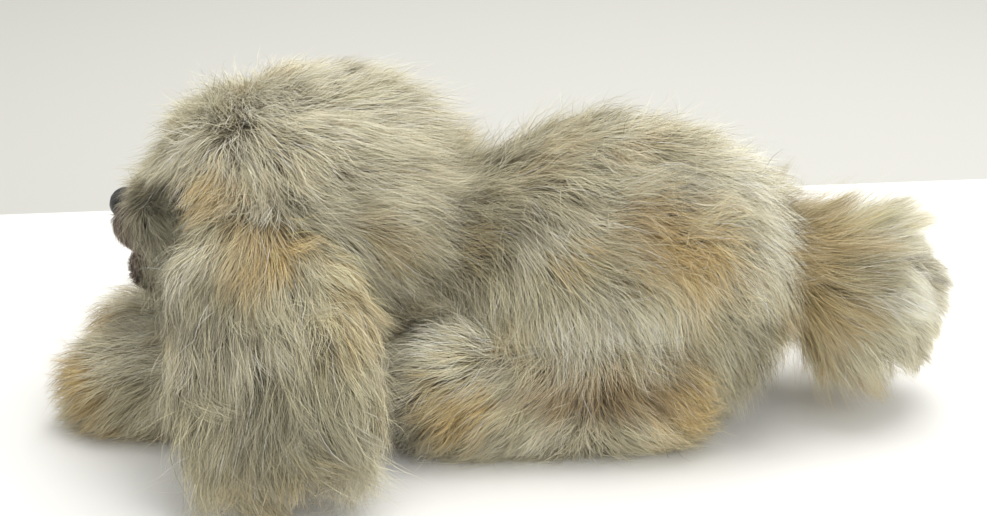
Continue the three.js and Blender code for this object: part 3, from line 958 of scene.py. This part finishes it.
def tail_length(points):
    """Longest near the tail's root, so that the tips end not far from each other."""
    return np.clip((TAIL_TIPS - points[:, 0]) * 0.8, 26 * MM, 62 * MM)


def tail_thin(points):
    """Densest round the root, where the fan of hair starts."""
    return 3 - 2 * ease(points[:, 0], 0.145, 0.185)


def belly_thin(points):
    """Sparse where the belly lies on the table."""
    return np.where(points[:, 2] < 6 * MM, 0.35, 1.0)


def one_side(side):
    """Hair of one side of the body."""
    return lambda points: np.where(points[:, 1] * side >= 0, belly_thin(points), 0)


def behind_nose(points):
    """None on the smooth front of the muzzle, and more towards the cheeks."""
    return ease(points[:, 0], MUZZLE_TIP[0] + 3 * MM, MUZZLE_TIP[0] + 14 * MM)


def clear_of_eyes(side):
    """Hair of one side, with less of it right over the eye."""

    def thin(points):
        near = np.linalg.norm(points - middle(f"eye_{SIDE_NAME[side]}"), axis=1)
        return ease(near, 7 * MM, 10 * MM) * (points[:, 1] * side >= 0)

    return thin


BODY_PATCHES = (
    (BROWN, (0.062, -0.058, 0.113), (0.050, 0.035, 0.014), 0.9),
    (TAN, (0.085, -0.055, 0.106), (0.050, 0.035, 0.018), 0.95),
    (PALE, (0.040, -0.062, 0.082), (0.045, 0.035, 0.018), 0.9),
    (PALE, (0.125, -0.040, 0.110), (0.035, 0.035, 0.025), 0.9),
    (PALE, (0.120, -0.015, 0.130), (0.060, 0.065, 0.038), 1.0),
    (PALE, (0.010, -0.030, 0.140), (0.050, 0.040, 0.020), 0.3),
    (GREY, (0.085, -0.028, 0.140), (0.040, 0.016, 0.012), 0.95),
    (OLIVE, (-0.030, -0.050, 0.100), (0.040, 0.030, 0.022), 0.6),
    (TAN, (0.135, -0.030, 0.075), (0.022, 0.035, 0.018), 0.7),
)
HEAD_PATCHES = (
    (PALE, (-0.110, -0.020, 0.145), (0.080, 0.065, 0.055), 0.65),
    (TAN, (-0.138, -0.046, 0.142), (0.020, 0.020, 0.018), 0.8),
    # OLIVE over the eye: painted shade under the brow round the hidden eye
    (OLIVE, (-0.160, -0.040, 0.120), (0.024, 0.028, 0.028), 0.85),
    (OLIVE, (-0.095, -0.050, 0.132), (0.020, 0.020, 0.012), 0.5),
)
EAR_PATCHES = (
    (TAN, (-0.118, -0.064, 0.122), (0.020, 0.024, 0.022), 0.55),
    (OLIVE, (-0.140, -0.085, 0.095), (0.028, 0.035, 0.032), 0.85),
    (OLIVE, (-0.105, -0.110, 0.055), (0.045, 0.035, 0.040), 0.7),
    (TAN, (-0.085, -0.085, 0.100), (0.014, 0.024, 0.030), 0.35),
)
FORELEG_PATCHES = (
    (TAN, (-0.205, -0.035, 0.035), (0.025, 0.030, 0.022), 0.75),
    # BROWN along the bottom of the paws: painted shadow where they rest on the table
    (BROWN, (-0.180, -0.040, 0.002), (0.060, 0.030, 0.014), 0.8),
    (PALE, (-0.190, -0.030, 0.045), (0.045, 0.035, 0.014), 0.8),
)
HIND_LEG_PATCHES = (
    (BROWN, (0.055, -0.072, 0.045), (0.055, 0.035, 0.020), 0.9),
    (TAN, (0.090, -0.065, 0.040), (0.030, 0.035, 0.025), 0.7),
    (PALE, (-0.030, -0.070, 0.060), (0.035, 0.030, 0.016), 0.8),
    (TAN, (-0.015, -0.072, 0.035), (0.030, 0.025, 0.018), 0.65),
    # GREY low behind the ear: painted shade in the gap between the ear and the knee
    (GREY, (-0.045, -0.060, 0.030), (0.016, 0.030, 0.030), 0.85),
)
TAIL_PATCHES = (
    (TAN, (0.142, 0.0, 0.070), (0.026, 0.040, 0.032), 0.6),
    (TAN, (0.165, 0.0, 0.045), (0.030, 0.040, 0.012), 0.6),
    (OLIVE, (0.190, 0.0, 0.055), (0.025, 0.040, 0.010), 0.6),
    (PALE, (0.205, 0.0, 0.075), (0.050, 0.060, 0.040), 0.8),
)


def plush_tint(points):
    tone = ripple(points, 9 * MM, 91, 1)[:, 0]
    color = np.repeat(MAUVE[None], len(points), axis=0)
    back = ease(points[:, 0], MUZZLE_TIP[0] + 6 * MM, MUZZLE_TIP[0] + 24 * MM)
    color = blend(color, GREY, back * 0.9)
    return color * (1 + 0.2 * tone[:, None])


def whisker_tint(points):
    """Darker and more olive than the coat."""
    return blend(mottled(points, 18), OLIVE, np.full(len(points), 0.75))


def make_skins(looks):
    """The smooth fur cloth of each part, by name."""
    cloth, plush = looks["cloth"], looks["plush"]
    skins = {
        "back": soft_piece("back_skin", ["back_panel_left", "back_panel_right", "belly_panel"],
                           cloth, 3 * MM, shrink=1 * MM),
        "neck": soft_piece("neck_skin", ["neck_fur"], cloth, 3 * MM, shrink=1 * MM),
        "head": soft_piece("head_skin", list(both("head_fur")), cloth, 2.5 * MM, shrink=1 * MM),
        "muzzle": soft_piece("muzzle_skin", ["muzzle_fur"], plush, 1.2 * MM, 6),
        "chin": soft_piece("chin_skin", ["chin_fur"], plush, 1.2 * MM, 6),
        "tail": soft_piece("tail_skin", ["tail_fur"], cloth, 2.5 * MM, shrink=1 * MM),
    }
    for part, voxel in (("ear_fur", 1.8), ("ear_lining", 1.5), ("foreleg_fur", 2.5), ("hind_leg_fur", 2.5)):
        for node in both(part):
            skins[node] = soft_piece(node + "_skin", [node], cloth, voxel * MM, 5, shrink=0.5 * MM)
    skins = {name: Skin(piece) for name, piece in skins.items()}
    for name, skin in skins.items():
        skin.leave_out_hidden([skins["back"], skins["head"]] if name == "neck" else [])
    return skins


def paired_coats(skins, side):
    name = SIDE_NAME[side]
    seed = 500 + 100 * side
    return [
        Coat(f"back_hair_{name}", skins["back"], 39000, back_length, comb_back,
             patched(11, *BODY_PATCHES), back_pile, hug=0.55, thin=one_side(side), seed=seed + 1),
        Coat(f"head_hair_{name}", skins["head"], 32000, head_length, comb_head,
             patched(12, *HEAD_PATCHES), head_pile, lift=1.0, hug=0.5, wander=0.6,
             thin=clear_of_eyes(side), seed=seed + 11),
        Coat(f"ear_hair_{name}", skins[f"ear_fur_{name}"], 28000, ear_length, comb_ear(side),
             patched(13, *EAR_PATCHES), steady(11 * MM), lift=0.4, droop=0.12, hug=0.7,
             lock=8 * MM, clump=0.6, contrast=0.2, steps=6, seed=seed + 21),
        Coat(f"ear_lining_hair_{name}", skins[f"ear_lining_{name}"], 6000, steady(18 * MM),
             comb_ear(side), patched(13, *EAR_PATCHES), steady(4 * MM), lift=0.2, seed=seed + 31),
        Coat(f"foreleg_hair_{name}", skins[f"foreleg_fur_{name}"], 24000, steady(32 * MM),
             comb_foreleg(side), patched(14, *FORELEG_PATCHES), steady(19 * MM), lift=1.0,
             thin=belly_thin, seed=seed + 41),
        Coat(f"hind_leg_hair_{name}", skins[f"hind_leg_fur_{name}"], 24000, steady(33 * MM),
             comb_hind_leg(side), patched(15, *HIND_LEG_PATCHES), hind_leg_pile, contrast=0.16,
             thin=belly_thin, seed=seed + 51),
    ]


def coats(skins):
    return [
        *paired_coats(skins, LEFT),
        *paired_coats(skins, RIGHT),
        Coat("neck_hair", skins["neck"], 10000, steady(50 * MM), comb_neck, patched(16),
             steady(45 * MM), lift=1.2, hug=0.2, seed=801),
        Coat("tail_hair", skins["tail"], 33000, tail_length, comb_tail, patched(17, *TAIL_PATCHES),
             steady(30 * MM), lift=0.1, droop=0.01, hug=0.0, frizz=0.2, wander=0.4, lock=9 * MM,
             clump=0.72, contrast=0.24, steps=6, thin=tail_thin, seed=811),
        Coat("muzzle_plush", skins["muzzle"], 20000, steady(7 * MM), comb_muzzle, plush_tint,
             steady(4.5 * MM), wander=0.5, lock=3 * MM, steps=3, seed=821),
        Coat("chin_plush", skins["chin"], 13000, steady(7 * MM), comb_chin, plush_tint,
             steady(4.5 * MM), wander=0.5, lock=3 * MM, steps=3, seed=831),
        Coat("muzzle_hair", skins["muzzle"], 13000, steady(23 * MM), comb_whiskers, whisker_tint,
             steady(15 * MM), lift=1.0, frizz=0.4, wander=0.7, lock=5 * MM, thin=behind_nose, seed=841),
        Coat("chin_hair", skins["chin"], 7000, steady(17 * MM), comb_whiskers, whisker_tint,
             steady(10 * MM), lift=0.9, frizz=0.4, wander=0.7, lock=5 * MM, thin=behind_nose, seed=851),
    ]


def dress_nodes(looks):
    """Better materials for the frame's own pieces that are seen through the openings."""
    for name, node in NODES.items():
        slot = SLOT_OF[name]
        if slot not in looks or node.hide_render:
            continue
        node.data.materials.clear()
        node.data.materials.append(looks[slot])


def make_stuffing(look):
    for name in [n for n in NODES if "stuffing" in n]:
        piece = soft_piece(name.replace("stuffing", "fill"), [name], look, 2.5 * MM, 3)


def make_face(looks):
    soft_piece("nose_moulding", ["nose"], looks["nose_plastic"], 0.6 * MM, 8)
    for name in SIDE_NAME.values():
        soft_piece(f"eye_dome_{name}", [f"eye_{name}"], looks["eye_plastic"], 0.5 * MM, 8)


def main():
    make_camera()
    make_lights()
    make_floor()
    looks = {
        "cloth": fur_cloth_look(),
        "plush": plush_look(),
        "nose_plastic": nose_look(),
        "eye_plastic": eye_look(),
        "washer_plastic": washer_look(),
        "lining_cloth": cloth_look("lining_weave", (0.035, 0.028, 0.022), (0.085, 0.07, 0.055)),
        "mouth_felt": felt_look("mouth_felt", (0.10, 0.045, 0.04), (0.20, 0.10, 0.085)),
        "tongue_felt": felt_look("tongue_felt", (0.33, 0.12, 0.12), (0.52, 0.24, 0.23)),
        "mouth_board": board_look(),
    }
    skins = make_skins(looks)
    clearance = Clearance(skins.values())
    hair = hair_look()
    for coat in coats(skins):
        make_hair(coat, clearance, hair)
    make_stuffing(stuffing_look())
    make_face(looks)
    dress_nodes(looks)


main()
bpy.context.scene.view_settings.view_transform = "Standard"
